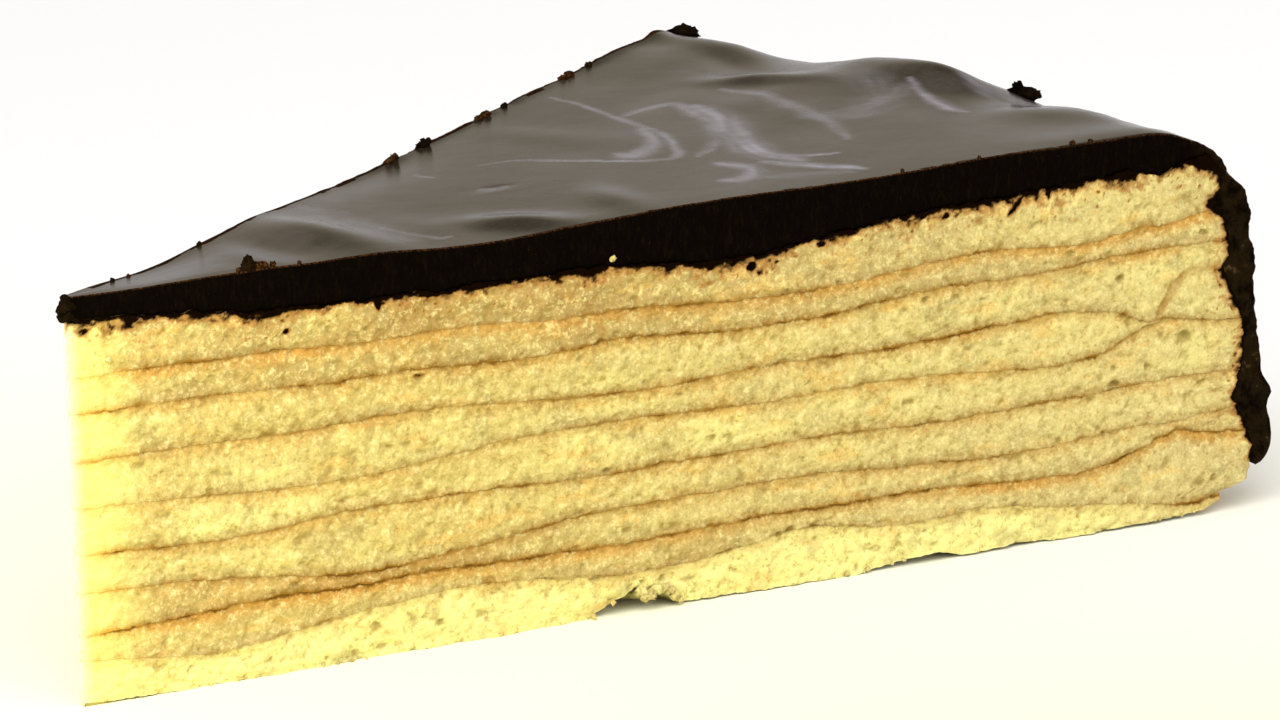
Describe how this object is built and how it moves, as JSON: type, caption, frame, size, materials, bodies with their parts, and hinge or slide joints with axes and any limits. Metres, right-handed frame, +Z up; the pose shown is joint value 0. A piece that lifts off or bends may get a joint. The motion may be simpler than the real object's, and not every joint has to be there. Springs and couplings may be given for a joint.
{
  "type": "baumkuchen slice",
  "caption": "Wedge slice of a layered tree cake: thin pale sponge layers with browned skins between them, under a thick dark chocolate glaze that runs down the outer rim.",
  "frame": {"origin": "centre of the bounding box at its bottom, on the surface that the slice stands on", "axes": "+X from the point of the slice to its outer rim, +Z up; the cut that shows in the picture faces -Y"},
  "size_m": [0.1351, 0.0842, 0.0433],
  "materials": {
    "sponge": "matte crumb",
    "glaze": "satin gloss on top, matte where cut"
  },
  "bodies": {
    "root": {"sponge_layer_1": "sponge", "sponge_layer_2": "sponge", "sponge_layer_3": "sponge", "sponge_layer_4": "sponge", "sponge_layer_5": "sponge", "sponge_layer_6": "sponge", "sponge_layer_7": "sponge", "sponge_layer_8": "sponge", "sponge_layer_9": "sponge", "chocolate_glaze": "glaze"}
  },
  "joints": []
}
